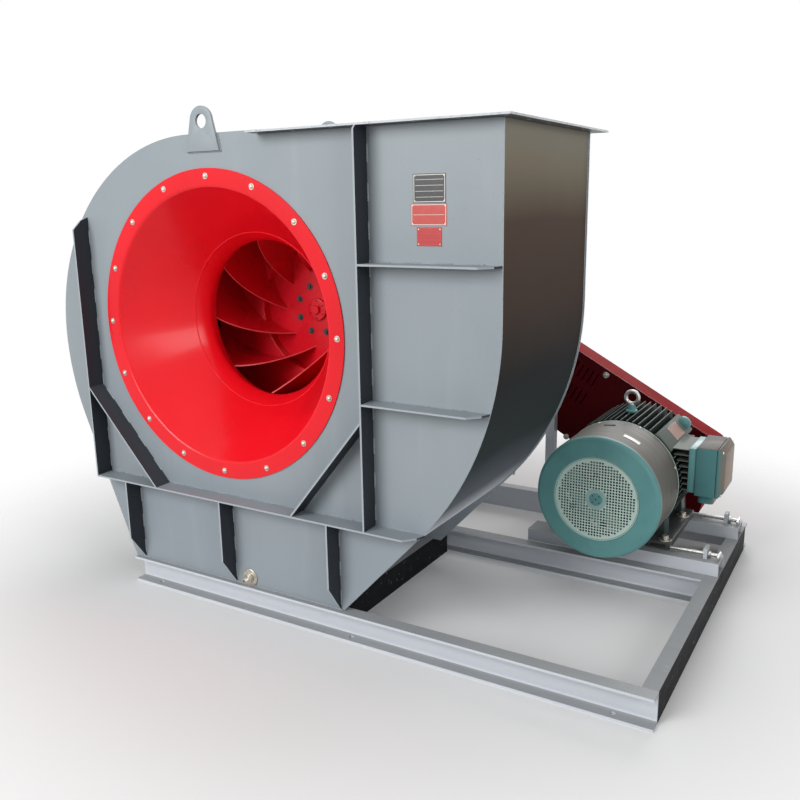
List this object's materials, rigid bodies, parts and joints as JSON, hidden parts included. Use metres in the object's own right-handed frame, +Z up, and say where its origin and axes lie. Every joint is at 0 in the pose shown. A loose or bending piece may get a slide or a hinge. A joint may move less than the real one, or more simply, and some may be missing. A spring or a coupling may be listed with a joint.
{
  "type": "industrial centrifugal fan",
  "caption": "Belt-driven centrifugal fan: scroll casing with a red inlet cone and an upward outlet flange, on a channel base with bearings, a guarded V-belt drive and an electric motor.",
  "frame": {"origin": "Middle of the machine's outline at floor level, under the base channels.", "axes": "+Z up. +Y from the inlet side to the drive side, along both shafts. +X to the right as seen from the inlet, towards the outlet duct and the motor."},
  "size_m": [2.29, 1.6473, 1.733],
  "materials": {
    "casing_paint": "satin blue-grey paint on sheet steel",
    "rib_paint": "satin blue-grey paint on flat bar, darker in reflection",
    "base_paint": "satin grey paint on rolled channel",
    "fan_red_paint": "glossy red paint",
    "guard_red_paint": "semi-gloss red paint on sheet steel",
    "motor_teal_paint": "semi-gloss teal paint on cast iron and sheet steel",
    "fan_plastic": "dark moulded plastic",
    "bright_steel": "bright machined and plated steel",
    "dark_cast_iron": "dark painted cast iron",
    "belt_rubber": "matt black belt rubber"
  },
  "bodies": {
    "root": {"front_side_plate": "casing_paint", "rear_side_plate": "casing_paint", "scroll_wrap": "casing_paint", "outlet_flange": "casing_paint", "rear_shaft_seal": "casing_paint", "front_lifting_lug": "casing_paint", "rear_lifting_lug": "casing_paint", "front_long_rib": "rib_paint", "front_left_rib": "rib_paint", "front_right_rib": "rib_paint", "front_upper_rib": "rib_paint", "front_lower_rib": "rib_paint", "front_left_brace": "rib_paint", "front_right_brace": "rib_paint", "rear_long_rib": "rib_paint", "rear_left_rib": "rib_paint", "rear_right_rib": "rib_paint", "front_channel": "base_paint", "rear_channel": "base_paint", "left_end_channel": "base_paint", "right_end_channel": "base_paint", "middle_channel": "base_paint", "cross_channel": "base_paint", "bearing_pedestal": "base_paint", "guard_post": "base_paint", "front_motor_rail": "base_paint", "rear_motor_rail": "base_paint", "inlet_cone": "fan_red_paint", "belt_guard_cover": "guard_red_paint", "belt_guard_panel": "guard_red_paint", "front_bearing_insert": "bright_steel", "rear_bearing_insert": "bright_steel", "drain_plug": "bright_steel", "front_bearing_base": "dark_cast_iron", "front_bearing_cap": "dark_cast_iron", "rear_bearing_base": "dark_cast_iron", "rear_bearing_cap": "dark_cast_iron", "v_belt_1": "belt_rubber", "v_belt_2": "belt_rubber", "v_belt_3": "belt_rubber", "v_belt_4": "belt_rubber"},
    "fan_rotor": {"fan_shaft": "bright_steel", "impeller_backplate": "fan_red_paint", "impeller_shroud": "fan_red_paint", "impeller_hub": "dark_cast_iron", "hub_nose_cap": "fan_red_paint", "driven_pulley": "dark_cast_iron"},
    "motor_carriage": {"motor_frame": "motor_teal_paint", "drive_end_shield": "motor_teal_paint", "fan_end_shield": "motor_teal_paint", "fan_cowl": "motor_teal_paint", "cowl_grille": "motor_teal_paint", "terminal_box": "motor_teal_paint", "terminal_box_lid": "motor_teal_paint", "lifting_eyebolt": "motor_teal_paint", "front_tension_screw": "bright_steel", "rear_tension_screw": "bright_steel"},
    "motor_armature": {"motor_rotor": "bright_steel", "cooling_fan": "fan_plastic", "drive_pulley": "dark_cast_iron"}
  },
  "joints": [
    {"name": "fan_spin", "type": "hinge", "parent": "root", "child": "fan_rotor", "pos_m": [-0.374, 0.02365, 1.017], "axis": [0, 1, 0], "continuous": true},
    {"name": "motor_slide", "type": "slide", "parent": "root", "child": "motor_carriage", "axis": [1, 0, 0], "range_m": [-0.03, 0.02], "deforming": ["v_belt_1", "v_belt_2", "v_belt_3", "v_belt_4"]},
    {"name": "motor_spin", "type": "hinge", "parent": "motor_carriage", "child": "motor_armature", "pos_m": [0.7375, 0.02365, 0.377], "axis": [0, 1, 0], "continuous": true}
  ],
  "couplings": [
    {"joint": "motor_spin", "follows": "fan_spin", "ratio": 0.675}
  ]
}
